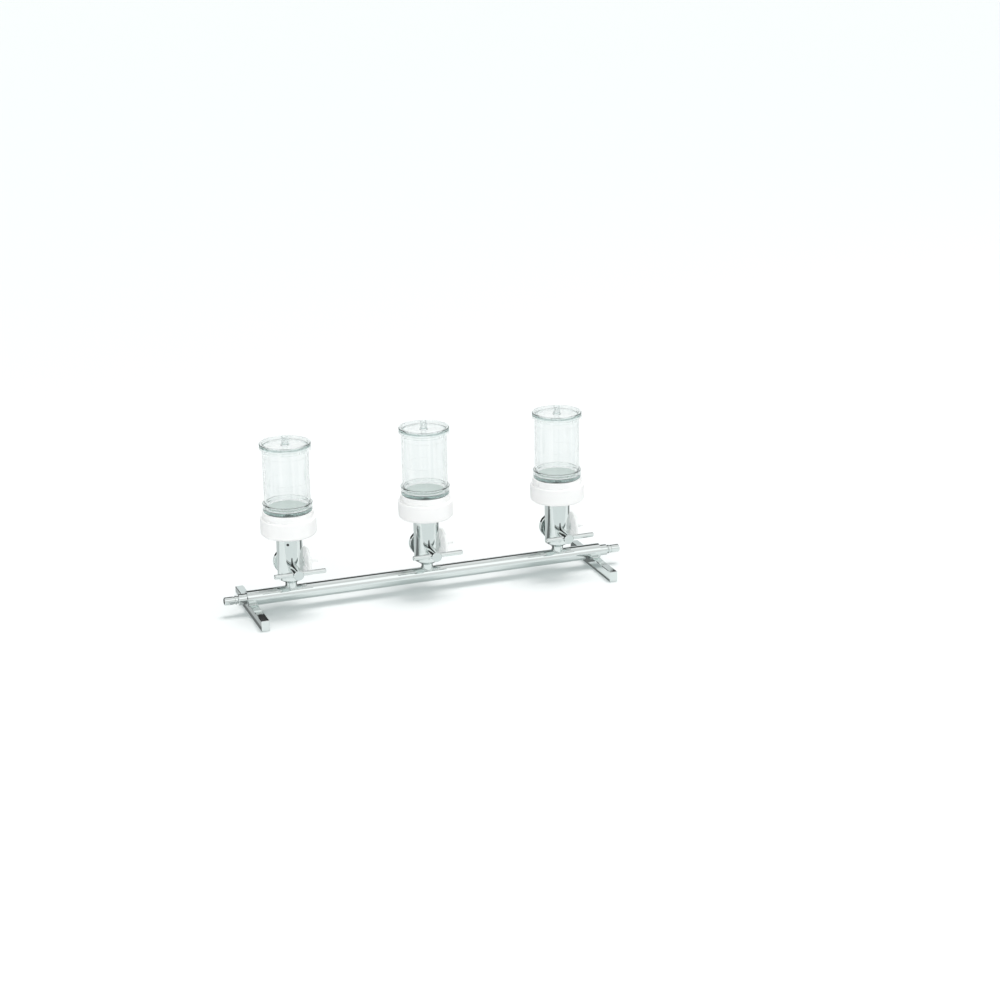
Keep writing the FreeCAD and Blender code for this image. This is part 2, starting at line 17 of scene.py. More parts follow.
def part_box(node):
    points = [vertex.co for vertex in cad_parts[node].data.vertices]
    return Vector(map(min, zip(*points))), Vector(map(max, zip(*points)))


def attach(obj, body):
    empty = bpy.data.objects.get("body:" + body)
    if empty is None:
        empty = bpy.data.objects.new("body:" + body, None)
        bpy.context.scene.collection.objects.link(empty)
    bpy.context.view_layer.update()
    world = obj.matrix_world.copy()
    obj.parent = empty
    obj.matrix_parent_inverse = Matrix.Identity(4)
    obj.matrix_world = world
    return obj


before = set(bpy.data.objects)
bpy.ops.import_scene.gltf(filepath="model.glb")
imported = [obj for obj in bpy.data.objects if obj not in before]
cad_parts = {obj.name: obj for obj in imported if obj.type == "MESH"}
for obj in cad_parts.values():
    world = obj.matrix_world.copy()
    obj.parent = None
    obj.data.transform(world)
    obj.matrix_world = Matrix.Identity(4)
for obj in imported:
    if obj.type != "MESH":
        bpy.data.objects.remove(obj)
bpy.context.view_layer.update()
stations = ("left", "middle", "right")

# %% [markdown]
# ## Helpers for materials
#
# Blender's Principled shader can be metal, plastic or glass. A finish is that one
# shader plus a few texture nodes. These helpers keep the node code short: one adds
# a node with its values, one starts a material, one starts a shared node group.

# %% Node helpers
def add_node(tree, kind, values=None, **settings):
    """Adds a node, sets its properties and then its input values."""
    node = tree.nodes.new(kind)
    for name, value in settings.items():
        setattr(node, name, value)
    for name, value in (values or {}).items():
        node.inputs[name].default_value = value
    return node


def start_material(name):
    """A new material with only a Principled shader and its output."""
    material = bpy.data.materials.new(name)
    material.use_nodes = True
    tree = material.node_tree
    tree.nodes.clear()
    shader = add_node(tree, "ShaderNodeBsdfPrincipled")
    output = add_node(tree, "ShaderNodeOutputMaterial")
    tree.links.new(shader.outputs["BSDF"], output.inputs["Surface"])
    return material, tree, shader


def start_group(name, inputs, outputs):
    """A shader node group with named inputs (socket type and default) and outputs."""
    group = bpy.data.node_groups.new(name, "ShaderNodeTree")
    for socket_name, (socket_type, default) in inputs.items():
        socket = group.interface.new_socket(socket_name, in_out="INPUT", socket_type=socket_type)
        socket.default_value = default
    for socket_name, socket_type in outputs.items():
        group.interface.new_socket(socket_name, in_out="OUTPUT", socket_type=socket_type)
    return group, add_node(group, "NodeGroupInput"), add_node(group, "NodeGroupOutput")


def place_group(tree, group, values):
    """Puts a shared group into a material, with that material's own values."""
    node = add_node(tree, "ShaderNodeGroup", node_tree=group)
    for name, value in values.items():
        node.inputs[name].default_value = value
    return node


# %% [markdown]
# ## Polishing marks, a shared effect
#
# Polished steel is never a perfect mirror. The polishing belt leaves hair-fine
# lines, and hands leave soft patches. Both only change how sharp the reflection
# is. A stretched noise makes the lines: its scale is large across them and small
# along them, so each metal piece can set the direction its lines run in.

# %% Polishing marks group
FLOAT = "NodeSocketFloat"
VECTOR = "NodeSocketVector"

polishing_marks, marks_in, marks_out = start_group(
    "polishing marks",
    {"Line Scale": (VECTOR, (60.0, 4000.0, 4000.0)), "Patch Scale": (FLOAT, 30.0)},
    {"Lines": FLOAT, "Patches": FLOAT},
)
coordinate = add_node(polishing_marks, "ShaderNodeTexCoord")
stretch = add_node(polishing_marks, "ShaderNodeMapping")
line_noise = add_node(polishing_marks, "ShaderNodeTexNoise", {"Scale": 1.0, "Detail": 2.0})
patch_noise = add_node(polishing_marks, "ShaderNodeTexNoise", {"Detail": 3.0, "Roughness": 0.6})
patch_range = add_node(polishing_marks, "ShaderNodeMapRange", {"From Min": 0.45, "From Max": 0.75})
wire = polishing_marks.links.new
wire(coordinate.outputs["Object"], stretch.inputs["Vector"])
wire(marks_in.outputs["Line Scale"], stretch.inputs["Scale"])
wire(stretch.outputs["Vector"], line_noise.inputs["Vector"])
wire(coordinate.outputs["Object"], patch_noise.inputs["Vector"])
wire(marks_in.outputs["Patch Scale"], patch_noise.inputs["Scale"])
wire(patch_noise.outputs["Fac"], patch_range.inputs["Value"])
wire(line_noise.outputs["Fac"], marks_out.inputs["Lines"])
wire(patch_range.outputs["Result"], marks_out.inputs["Patches"])
print("group", polishing_marks.name)

# %% [markdown]
# ## Polished steel
#
# Stainless steel reflects about two thirds of the light, a little less red than
# green and blue. Turned pieces have lines round their axis and the pipe has them
# lengthwise, so one function makes each steel finish from its own line scale.

# %% Steel finishes
steel_color = (0.70, 0.745, 0.735, 1.0)


def make_steel(name, line_scale, smooth, rough, bump_depth):
    """Polished steel whose roughness runs from smooth to rough over its marks."""
    material, tree, shader = start_material(name)
    shader.inputs["Base Color"].default_value = steel_color
    shader.inputs["Metallic"].default_value = 1.0
    marks = place_group(tree, polishing_marks, {"Line Scale": line_scale, "Patch Scale": 35.0})
    mix = add_node(tree, "ShaderNodeMath", operation="MULTIPLY")
    to_roughness = add_node(tree, "ShaderNodeMapRange", {"To Min": smooth, "To Max": rough})
    bump = add_node(tree, "ShaderNodeBump", {"Strength": 0.15, "Distance": bump_depth})
    tree.links.new(marks.outputs["Lines"], mix.inputs[0])
    tree.links.new(marks.outputs["Patches"], mix.inputs[1])
    tree.links.new(mix.outputs["Value"], to_roughness.inputs["Value"])
    tree.links.new(to_roughness.outputs["Result"], shader.inputs["Roughness"])
    tree.links.new(marks.outputs["Lines"], bump.inputs["Height"])
    tree.links.new(bump.outputs["Normal"], shader.inputs["Normal"])
    return material


pipe_steel = make_steel(
    "pipe steel", (60.0, 3000.0, 3000.0), smooth=0.04, rough=0.16, bump_depth=0.00001)
column_steel = make_steel(
    "column steel", (300.0, 300.0, 5000.0), smooth=0.03, rough=0.13, bump_depth=0.000008)
key_steel = make_steel(
    "key steel", (300.0, 5000.0, 300.0), smooth=0.03, rough=0.13, bump_depth=0.000008)
foot_steel = make_steel(
    "foot bar steel", (3000.0, 60.0, 3000.0), smooth=0.05, rough=0.18, bump_depth=0.00001)
print("steel finishes made")

# %% [markdown]
# ## Screw and spring steel
#
# The grub screws have a dark oxide skin, and the washers and disc springs keep
# their dull rolled surface. Both are metals with a rougher, uneven shine.

# %% Dull steels
def make_dull_steel(name, color, rough):
    """Unpolished metal with patches of uneven shine."""
    material, tree, shader = start_material(name)
    shader.inputs["Base Color"].default_value = color
    shader.inputs["Metallic"].default_value = 1.0
    marks = place_group(tree, polishing_marks, {"Patch Scale": 400.0})
    to_roughness = add_node(tree, "ShaderNodeMapRange", {"To Min": rough, "To Max": rough + 0.2})
    tree.links.new(marks.outputs["Patches"], to_roughness.inputs["Value"])
    tree.links.new(to_roughness.outputs["Result"], shader.inputs["Roughness"])
    return material


screw_steel = make_dull_steel("oxide screw steel", (0.05, 0.055, 0.055, 1.0), 0.35)
spring_steel = make_dull_steel("spring steel", (0.45, 0.46, 0.46, 1.0), 0.3)
print("dull steels made")

# %% [markdown]
# ## Moulding grain, a shared effect
#
# Moulded plastic has a very fine skin texture, slow waves where the wall shrank,
# and faint uneven colour. The group gives a height for a Bump node and a mask for
# the colour; each plastic sets how large its grain is.

# %% Moulding grain group
moulding_grain, grain_in, grain_out = start_group(
    "moulding grain",
    {"Grain Scale": (FLOAT, 3000.0), "Wave Scale": (FLOAT, 60.0), "Wave Share": (FLOAT, 0.5)},
    {"Height": FLOAT, "Mottle": FLOAT},
)
coordinate = add_node(moulding_grain, "ShaderNodeTexCoord")
grain_noise = add_node(moulding_grain, "ShaderNodeTexNoise", {"Detail": 1.0})
wave_noise = add_node(moulding_grain, "ShaderNodeTexNoise", {"Detail": 1.0})
blend_height = add_node(moulding_grain, "ShaderNodeMix", data_type="FLOAT")
wire = moulding_grain.links.new
wire(coordinate.outputs["Object"], grain_noise.inputs["Vector"])
wire(coordinate.outputs["Object"], wave_noise.inputs["Vector"])
wire(grain_in.outputs["Grain Scale"], grain_noise.inputs["Scale"])
wire(grain_in.outputs["Wave Scale"], wave_noise.inputs["Scale"])
wire(grain_in.outputs["Wave Share"], blend_height.inputs["Factor"])
wire(grain_noise.outputs["Fac"], blend_height.inputs["A"])
wire(wave_noise.outputs["Fac"], blend_height.inputs["B"])
wire(blend_height.outputs["Result"], grain_out.inputs["Height"])
wire(wave_noise.outputs["Fac"], grain_out.inputs["Mottle"])
print("group", moulding_grain.name)

# %% [markdown]
# ## White plastics
#
# The bases are thick white plastic with a satin skin, and the vent filters are
# thin, smoother shells. A little subsurface scattering lets light soak in, which is
# what makes white plastic look soft and not like paint. The vent shells get a darker
# colour and a faint painted glow, an emission that brightens the faces the column
# shades. It stands in for light that comes through the thin shells from behind.

# %% White plastic finishes
def make_white_plastic(name, light, dark, softness, roughness, grain_scale, bump_depth, painted_glow):
    """Satin or glossy moulded plastic with faintly uneven colour and maybe a painted glow."""
    material, tree, shader = start_material(name)
    shader.inputs["Roughness"].default_value = roughness
    shader.inputs["Specular IOR Level"].default_value = 0.4
    shader.inputs["Subsurface Weight"].default_value = softness
    shader.inputs["Subsurface Radius"].default_value = (1.0, 1.0, 0.95)
    shader.inputs["Subsurface Scale"].default_value = 0.002
    # The emission is a painted glow, light that no lamp gives.
    shader.inputs["Emission Color"].default_value = (0.97, 1.0, 1.0, 1.0)
    shader.inputs["Emission Strength"].default_value = painted_glow
    grain = place_group(tree, moulding_grain, {"Grain Scale": grain_scale, "Wave Share": 0.3})
    tint = add_node(tree, "ShaderNodeMix", data_type="RGBA")
    tint.inputs["A"].default_value = dark
    tint.inputs["B"].default_value = light
    bump = add_node(tree, "ShaderNodeBump", {"Strength": 0.3, "Distance": bump_depth})
    tree.links.new(grain.outputs["Mottle"], tint.inputs["Factor"])
    tree.links.new(tint.outputs["Result"], shader.inputs["Base Color"])
    tree.links.new(grain.outputs["Height"], bump.inputs["Height"])
    tree.links.new(bump.outputs["Normal"], shader.inputs["Normal"])
    return material


base_plastic = make_white_plastic(
    "white base plastic", (0.93, 0.935, 0.93, 1.0), (0.90, 0.905, 0.90, 1.0),
    softness=0.15, roughness=0.42, grain_scale=2500.0, bump_depth=0.00003, painted_glow=0.0)
# The vent shells have a darker colour and a painted glow that lifts the faces the column shades.
vent_plastic = make_white_plastic(
    "vent shell plastic", (0.59, 0.595, 0.59, 1.0), (0.57, 0.575, 0.57, 1.0),
    softness=0.8, roughness=0.38, grain_scale=1200.0, bump_depth=0.00001, painted_glow=0.34)
print("white plastics made")

# %% [markdown]
# ## Clear plastic
#
# The dish, tube and lid are clear moulded plastic. It is made as solid glass with
# a plastic's index of refraction, so the wall's thickness bends the light by
# itself. The surface is almost white, with faint upright lines where the plastic
# flowed in the mould. The grey-green tint sits in the volume: light that runs a long
# way inside a wall, as at the outlines, comes out darker, and light that crosses it
# straight hardly changes.

# %% Clear plastic finish
def make_clear_plastic(name, tint, density, wave_depth):
    """Clear plastic with slow waves in its moulded surface and a tinted volume."""
    material, tree, shader = start_material(name)
    shader.inputs["Roughness"].default_value = 0.0
    shader.inputs["IOR"].default_value = 1.5
    shader.inputs["Transmission Weight"].default_value = 1.0
    grain = place_group(tree, moulding_grain, {"Wave Scale": 90.0, "Wave Share": 0.95})
    bump = add_node(tree, "ShaderNodeBump", {"Strength": 0.5, "Distance": wave_depth})
    tree.links.new(grain.outputs["Height"], bump.inputs["Height"])
    tree.links.new(bump.outputs["Normal"], shader.inputs["Normal"])
    flow = place_group(tree, polishing_marks, {"Line Scale": (260.0, 260.0, 5.0)})
    flow_range = add_node(tree, "ShaderNodeMapRange", {"From Min": 0.42, "From Max": 0.62})
    film = add_node(tree, "ShaderNodeMix", data_type="RGBA")
    film.inputs["A"].default_value = (1.0, 1.0, 1.0, 1.0)
    film.inputs["B"].default_value = (0.955, 0.965, 0.965, 1.0)
    tree.links.new(flow.outputs["Lines"], flow_range.inputs["Value"])
    tree.links.new(flow_range.outputs["Result"], film.inputs["Factor"])
    tree.links.new(film.outputs["Result"], shader.inputs["Base Color"])
    volume = add_node(tree, "ShaderNodeVolumeAbsorption", {"Color": tint, "Density": density})
    output = next(node for node in tree.nodes if node.type == "OUTPUT_MATERIAL")
    tree.links.new(volume.outputs["Volume"], output.inputs["Volume"])
    return material


clear_plastic = make_clear_plastic(
    "clear plastic", (0.80, 0.86, 0.85, 1.0), density=90.0, wave_depth=0.00004)
print("clear plastic made")

# %% [markdown]
# ## Membranes and rubber
#
# The filter membrane is a thin sheet of fine fibres, coloured a dark grey-green: that
# is how it looks through the dish, and the darkness is partly painted shade, because
# the clear walls round it cast no shadow. Noise in a fine and a coarse scale reads as
# a felt of fibres. The gasket and the O-ring are black rubber with a dusty, barely
# shiny surface.

# %% Membrane and rubber finishes
def make_fibre_sheet(name, light, dark):
    """Matte porous sheet with a fine felt of fibres."""
    material, tree, shader = start_material(name)
    shader.inputs["Roughness"].default_value = 0.85
    grain = place_group(tree, moulding_grain,
                        {"Grain Scale": 2200.0, "Wave Scale": 250.0, "Wave Share": 0.35})
    tint = add_node(tree, "ShaderNodeMix", data_type="RGBA")
    tint.inputs["A"].default_value = dark
    tint.inputs["B"].default_value = light
    bump = add_node(tree, "ShaderNodeBump", {"Strength": 0.6, "Distance": 0.00005})
    tree.links.new(grain.outputs["Height"], tint.inputs["Factor"])
    tree.links.new(tint.outputs["Result"], shader.inputs["Base Color"])
    tree.links.new(grain.outputs["Height"], bump.inputs["Height"])
    tree.links.new(bump.outputs["Normal"], shader.inputs["Normal"])
    return material


def make_rubber(name, color):
    """Black rubber, slightly dusty."""
    material, tree, shader = start_material(name)
    grain = place_group(tree, moulding_grain, {"Grain Scale": 1500.0, "Wave Share": 0.2})
    tint = add_node(tree, "ShaderNodeMix", data_type="RGBA")
    tint.inputs["A"].default_value = color
    tint.inputs["B"].default_value = tuple(channel * 1.8 for channel in color[:3]) + (1.0,)
    shader.inputs["Roughness"].default_value = 0.55
    tree.links.new(grain.outputs["Mottle"], tint.inputs["Factor"])
    tree.links.new(tint.outputs["Result"], shader.inputs["Base Color"])
    return material


# The membrane's dark grey-green is partly painted shade for the inside of the funnel.
filter_sheet_painted_shade = make_fibre_sheet(
    "filter membrane painted shade", (0.52, 0.59, 0.57, 1.0), (0.42, 0.48, 0.46, 1.0))
vent_sheet = make_fibre_sheet(
    "vent membrane", (0.93, 0.93, 0.91, 1.0), (0.85, 0.85, 0.83, 1.0))
rubber = make_rubber("gasket rubber", (0.018, 0.021, 0.021, 1.0))
print("sheets and rubber made")

# %% [markdown]
# ## Give each CAD piece its finish
#
# A CAD piece keeps its mesh, and only its material slot is filled. The table names
# the finish of each kind of piece; the station's name follows it in the node name.

# %% Fill the material slots
single_finishes = {
    "manifold_pipe": pipe_steel,
    "foot_left": foot_steel,
    "foot_right": foot_steel,
    "hose_nozzle_left": pipe_steel,
    "hose_nozzle_right": pipe_steel,
}
station_finishes = {
    "valve_body": column_steel,
    "base_set_screw": screw_steel,
    "valve_key": key_steel,
    "key_lever": pipe_steel,
    "key_washer": spring_steel,
    "key_spring": spring_steel,
    "key_cap": key_steel,
    "vent_port": pipe_steel,
    "vent_filter_inlet": vent_plastic,
    "vent_filter_outlet": vent_plastic,
    "vent_filter_membrane": vent_sheet,
    "funnel_base": base_plastic,
    "base_oring": rubber,
    "seat_gasket": rubber,
    "filter_dish": clear_plastic,
    "membrane_filter": filter_sheet_painted_shade,
    "funnel_tube": clear_plastic,
    "funnel_lid": clear_plastic,
}


def dress(node_name, material):
    """Fills every material slot of a CAD node."""
    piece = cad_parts[node_name]
    piece.data.materials.clear()
    piece.data.materials.append(material)
    return piece


for node_name, material in single_finishes.items():
    dress(node_name, material)
for piece_name, material in station_finishes.items():
    for station in stations:
        dress(piece_name + "_" + station, material)
print("dressed", len(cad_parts), "nodes")

# %% [markdown]
# Clear pieces would cast hard black shadows, because a renderer finds no straight
# way for light through bent glass. Real clear plastic throws almost none, so these
# pieces are left out of the shadow rays.

# %% Clear pieces cast no shadow
for piece_name in ("filter_dish", "funnel_tube", "funnel_lid"):
    for station in stations:
        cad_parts[piece_name + "_" + station].visible_shadow = False

# %% [markdown]
# A lidded funnel is many clear walls inside one another, and at its edges light
# runs round inside them. A ray that gives up too early turns black there, so the
# rays may bounce more often than usual.

# %% Let rays pass through many clear walls
cycles = bpy.context.scene.cycles
cycles.max_bounces = 32
cycles.transmission_bounces = 32
cycles.glossy_bounces = 16
print("bounces", cycles.max_bounces)

# %% [markdown]
# ## Weld seams
#
# The necks are welded to the pipe, and the pipe to the foot bars. A weld is a thin
# bead with overlapping ripples. Each is a tube swept along the curve where the two
# surfaces meet, and its radius swells and shrinks along the way.

# %% Sweep a rippled bead along a closed path
def make_bead(name, path, radius, ripple, ripple_length, body):
    """A closed tube along path whose radius carries weld ripples."""
    sides = 10
    never_along = Vector((0.31, 0.17, 0.93))
    count = len(path)
    mesh = bmesh.new()
    rings = []
    travelled = 0.0
    for index, point in enumerate(path):
        before = path[index - 1]
        after = path[(index + 1) % count]
        travelled += (point - before).length
        along = (after - before).normalized()
        across = along.cross(never_along).normalized()
        up = along.cross(across)
        swell = radius + ripple * abs(math.sin(math.pi * travelled / ripple_length))
        ring = []
        for side in range(sides):
            angle = 2 * math.pi * side / sides
            offset = across * math.cos(angle) + up * math.sin(angle)
            ring.append(mesh.verts.new(point + offset * swell))
        rings.append(ring)
    for index in range(count):
        near, far = rings[index], rings[(index + 1) % count]
        for side in range(sides):
            turn = (side + 1) % sides
            mesh.faces.new((near[side], near[turn], far[turn], far[side])).smooth = True
    bmesh.ops.recalc_face_normals(mesh, faces=mesh.faces)
    data = bpy.data.meshes.new(name)
    mesh.to_mesh(data)
    mesh.free()
    bead = bpy.data.objects.new(name, data)
    bpy.context.scene.collection.objects.link(bead)
    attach(bead, body)
    return bead


# %% [markdown]
# The curve between neck and pipe is a saddle: a circle seen from above whose
# height follows the round of the pipe. The pipe's radius and height and the necks'
# places are measured from the CAD pieces; the neck's radius is given.

# %% Neck welds
pipe_low, pipe_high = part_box("manifold_pipe")
pipe_radius = (pipe_high.z - pipe_low.z) / 2
pipe_z = (pipe_high.z + pipe_low.z) / 2
neck_radius = 0.0063
bead_radius = 0.0007
bead_ripple = 0.00012
ripple_length = 0.0011


def neck_path(x):
    """Where the neck's surface meets the pipe's."""
    points = []
    steps = 240
    for step in range(steps):
        angle = 2 * math.pi * step / steps
        across = neck_radius * math.sin(angle)
        height = pipe_z + math.sqrt(pipe_radius ** 2 - across ** 2)
        points.append(Vector((x + neck_radius * math.cos(angle), across, height)))
    return points


weld_steel = make_steel(
    "weld steel", (500.0, 500.0, 500.0), smooth=0.12, rough=0.3, bump_depth=0.00002)
for station in stations:
    low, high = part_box("valve_body_" + station)
    neck_weld = make_bead("neck_weld_" + station, neck_path((low.x + high.x) / 2),
                          bead_radius, bead_ripple, ripple_length, "manifold")
    neck_weld.data.materials.append(weld_steel)
print("neck welds at pipe radius", round(pipe_radius, 5))

# %% [markdown]
# Where the pipe lies in a foot bar, the seam is a loop: an arc on each face of the
# bar, joined by two straight lines along the bar's top.

# %% Foot welds
def foot_path(low, high):
    """Loop round the saddle of one foot bar."""
    drop = pipe_z - high.z
    half_angle = math.acos(drop / pipe_radius)
    arc_steps = 60
    points = []
    for face_x, direction in ((low.x, 1), (high.x, -1)):
        for step in range(arc_steps + 1):
            angle = direction * half_angle * (2 * step / arc_steps - 1)
            across = pipe_radius * math.sin(angle)
            points.append(Vector((face_x, across, pipe_z - pipe_radius * math.cos(angle))))
        line_steps = 30
        next_x = high.x if direction > 0 else low.x
        edge_y = direction * pipe_radius * math.sin(half_angle)
        for step in range(1, line_steps):
            x = face_x + (next_x - face_x) * step / line_steps
            points.append(Vector((x, edge_y, high.z)))
    return points


for side in ("left", "right"):
    low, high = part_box("foot_" + side)
    foot_weld = make_bead("foot_weld_" + side, foot_path(low, high),
                          bead_radius, bead_ripple, ripple_length, "manifold")
    foot_weld.data.materials.append(weld_steel)
print("foot welds made")

# %% [markdown]
# ## The set: a white floor
#
# The photograph has a pure white ground with soft grey-green shadows. The floor is
# matte white, and for the rays of the camera and of mirrors a little of its own
# light lifts it to white; rays through clear plastic get less of it. Matte surfaces
# never see it, so the light on the object stays plain.

# %% Floor
floor_half = 40.0
floor_mesh = bpy.data.meshes.new("floor")
corners = [(-floor_half, -floor_half, 0), (floor_half, -floor_half, 0),
           (floor_half, floor_half, 0), (-floor_half, floor_half, 0)]
floor_mesh.from_pydata(corners, [], [(0, 1, 2, 3)])
floor = bpy.data.objects.new("floor", floor_mesh)
bpy.context.scene.collection.objects.link(floor)

floor_material = bpy.data.materials.new("floor white")
floor_material.use_nodes = True
tree = floor_material.node_tree
tree.nodes.clear()
matte = add_node(tree, "ShaderNodeBsdfDiffuse", {"Color": (0.69, 0.69, 0.69, 1.0)})
lift = add_node(tree, "ShaderNodeEmission", {"Color": (0.75, 1.0, 0.98, 1.0)})
path = add_node(tree, "ShaderNodeLightPath")
seen = add_node(tree, "ShaderNodeMath", operation="MAXIMUM")
lift_seen = 0.14
lift_through_plastic = 0.10
fade = add_node(tree, "ShaderNodeMath", operation="MULTIPLY_ADD")
fade.inputs[1].default_value = lift_through_plastic - lift_seen
fade.inputs[2].default_value = lift_seen
strength = add_node(tree, "ShaderNodeMath", operation="MULTIPLY")
both = add_node(tree, "ShaderNodeAddShader")
output = add_node(tree, "ShaderNodeOutputMaterial")
tree.links.new(path.outputs["Is Camera Ray"], seen.inputs[0])
tree.links.new(path.outputs["Is Glossy Ray"], seen.inputs[1])
tree.links.new(path.outputs["Is Transmission Ray"], fade.inputs[0])
tree.links.new(seen.outputs["Value"], strength.inputs[0])
tree.links.new(fade.outputs["Value"], strength.inputs[1])
tree.links.new(strength.outputs["Value"], lift.inputs["Strength"])
tree.links.new(matte.outputs["BSDF"], both.inputs[0])
tree.links.new(lift.outputs["Emission"], both.inputs[1])
tree.links.new(both.outputs["Shader"], output.inputs["Surface"])
floor_mesh.materials.append(floor_material)
print("floor made")

# %% [markdown]
# A round column mirrors only the floor, because the camera looks down on it: the
# front of the floor in its middle, the sides and the back in its edges. A bare
# white floor would make it flat grey. Photographers put grey cards round chrome to
# give it stripes. These cards are painted reflections instead, grey light that only
# mirrors can see: a light one in front, a dark strip close behind the pipe that is
# painted shade for the pipe's shadow, and a grey one behind that. Narrow grey and
# dark cards by the foot bars are painted shadow of the bars on the floor. The bars'
# sides mirror them as dark lower edges. Two small upright cards behind paint the
# reflections that shade the far ends of the bars.

# %% Grey cards for mirrors
def make_card_material(name, level):
    """Even grey light of one level."""
    material = bpy.data.materials.new(name)
    material.use_nodes = True
    tree = material.node_tree
    tree.nodes.clear()
    painted_glow = add_node(tree, "ShaderNodeEmission", {"Color": (0.95, 1.0, 1.0, 1.0), "Strength": level})
    output = add_node(tree, "ShaderNodeOutputMaterial")
    tree.links.new(painted_glow.outputs["Emission"], output.inputs["Surface"])
    return material


def add_card(name, points, material):
    """A card with four corners, seen by mirror rays alone."""
    data = bpy.data.meshes.new(name)
    data.from_pydata(points, [], [(0, 1, 2, 3)])
    data.materials.append(material)
    card = bpy.data.objects.new(name, data)
    card.visible_camera = False
    card.visible_diffuse = False
    card.visible_transmission = False
    card.visible_volume_scatter = False
    card.visible_shadow = False
    bpy.context.scene.collection.objects.link(card)
    return card


def add_floor_card(name, low, high, material):
    """A card that lies just above the floor."""
    height = 0.0003
    points = [(low[0], low[1], height), (high[0], low[1], height),
              (high[0], high[1], height), (low[0], high[1], height)]
    return add_card(name, points, material)


def add_far_card(name, corners, level):
    """An upright card behind the manifold, from its four corners in x and z."""
    far_y = 0.15
    points = [(x, far_y, z) for x, z in corners]
    return add_card(name, points, make_card_material(name + " grey", level))


# The dark card is painted shade for the pipe's shadow, and the foot card is painted shadow beside
# the left foot bar. Both are seen only in reflections.
floor_cards = (
    ("back_card", (-0.9, 0.09), (0.9, 1.2), "back grey", 0.72),
    ("pipe_shadow_card", (-0.195, 0.012), (0.5, 0.09), "painted pipe shadow grey", 0.20),
    ("foot_shadow_card", (-0.225, -0.0593), (-0.2105, 0.09), "painted foot shadow grey", 0.52),
    ("front_card", (-0.6, -0.60), (0.6, -0.125), "front grey", 0.95),
)
for name, low, high, material_name, level in floor_cards:
    add_floor_card(name, low, high, make_card_material(material_name, level))
# Strips of painted shadow along each foot bar, which its side mirrors as a dark lower edge.
painted_foot_shadow_width = 0.003
painted_foot_shadow = make_card_material("painted foot edge shadow grey", 0.2)
for side in ("left", "right"):
    low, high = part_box("foot_" + side)
    add_floor_card("painted_foot_shadow_" + side, (low.x - painted_foot_shadow_width, low.y),
                   (low.x, high.y), painted_foot_shadow)
add_far_card("left_far_card",
             ((-0.19, 0.03), (-0.14, 0.03), (-0.14, 0.07), (-0.19, 0.07)), 0.9)
add_far_card("right_far_card",
             ((0.215, 0.03), (0.36, 0.03), (0.286, 0.0965), (0.215, 0.0965)), 0.75)
print("cards made")

# %% [markdown]
# ## The world as a photographer's tent
#
# Chrome shows only what stands round it. The photographed pipe has a thin black
# line along its top, a bright stripe and soft greys: a dark room behind the set, a
# pale ceiling and a large bright screen in front. The world is painted that way
# for mirror rays only, by the angle round the pipe's direction. Two round patches
# are added: a dark one where the photographer stands, which gives the valve stems
# their black stripes, and a white one low behind the set, which the flat lids show.
# The camera and the clear plastic see white, and matte surfaces get plain white
# light.

# %% World
world = bpy.data.worlds.new("photo tent")
bpy.context.scene.world = world
world.use_nodes = True
tree = world.node_tree
tree.nodes.clear()
tent_strength = 1.35
tent_bands = (
    (0.0, 0.03),
    (0.31, 0.05),
    (0.38, 0.80),
    (0.50, 0.74),
    (0.58, 0.60),
    (0.68, 0.66),
    (0.74, 1.0),
    (0.82, 1.0),
    (0.88, 0.68),
    (1.0, 0.66),
)
direction = add_node(tree, "ShaderNodeTexCoord")
split = add_node(tree, "ShaderNodeSeparateXYZ")
angle = add_node(tree, "ShaderNodeMath", operation="ARCTAN2")
turn = add_node(tree, "ShaderNodeMath", operation="DIVIDE")
turn.inputs[1].default_value = math.pi
bands = add_node(tree, "ShaderNodeValToRGB")
bands.color_ramp.interpolation = "EASE"
first, last = bands.color_ramp.elements[0], bands.color_ramp.elements[1]
first.position, last.position = tent_bands[0][0], tent_bands[-1][0]
first.color = (tent_bands[0][1],) * 3 + (1.0,)
last.color = (tent_bands[-1][1],) * 3 + (1.0,)
for position, level in tent_bands[1:-1]:
    bands.color_ramp.elements.new(position).color = (level, level, level, 1.0)
viewer_side = (-0.33, -0.91, 0.24)
dark_strength = 0.05
toward_viewer = add_node(tree, "ShaderNodeVectorMath", {1: viewer_side}, operation="DOT_PRODUCT")
viewer_patch = add_node(
    tree, "ShaderNodeMapRange",
    {"From Min": 0.84, "From Max": 0.90, "To Min": tent_strength, "To Max": dark_strength})
low_screen = (0.30, 0.927, 0.225)
toward_screen = add_node(tree, "ShaderNodeVectorMath", {1: low_screen}, operation="DOT_PRODUCT")
screen_patch = add_node(tree, "ShaderNodeMapRange", {"From Min": 0.9905, "From Max": 0.9945})
patched = add_node(tree, "ShaderNodeMix", data_type="RGBA")
patched.inputs["B"].default_value = (0.75, 0.75, 0.75, 1.0)
tent = add_node(tree, "ShaderNodeBackground")
plain = add_node(tree, "ShaderNodeBackground", {"Color": (0.97, 1.0, 1.0, 1.0), "Strength": 0.64})
white = add_node(tree, "ShaderNodeBackground", {"Color": (1.0, 1.0, 1.0, 1.0), "Strength": 1.0})
path = add_node(tree, "ShaderNodeLightPath")
seen = add_node(tree, "ShaderNodeMath", operation="MAXIMUM")
for_mirrors = add_node(tree, "ShaderNodeMixShader")
for_camera = add_node(tree, "ShaderNodeMixShader")
output = add_node(tree, "ShaderNodeOutputWorld")
wire = tree.links.new
wire(direction.outputs["Generated"], split.inputs["Vector"])
wire(split.outputs["Z"], angle.inputs[0])
wire(split.outputs["Y"], angle.inputs[1])
wire(angle.outputs["Value"], turn.inputs[0])
wire(turn.outputs["Value"], bands.inputs["Fac"])
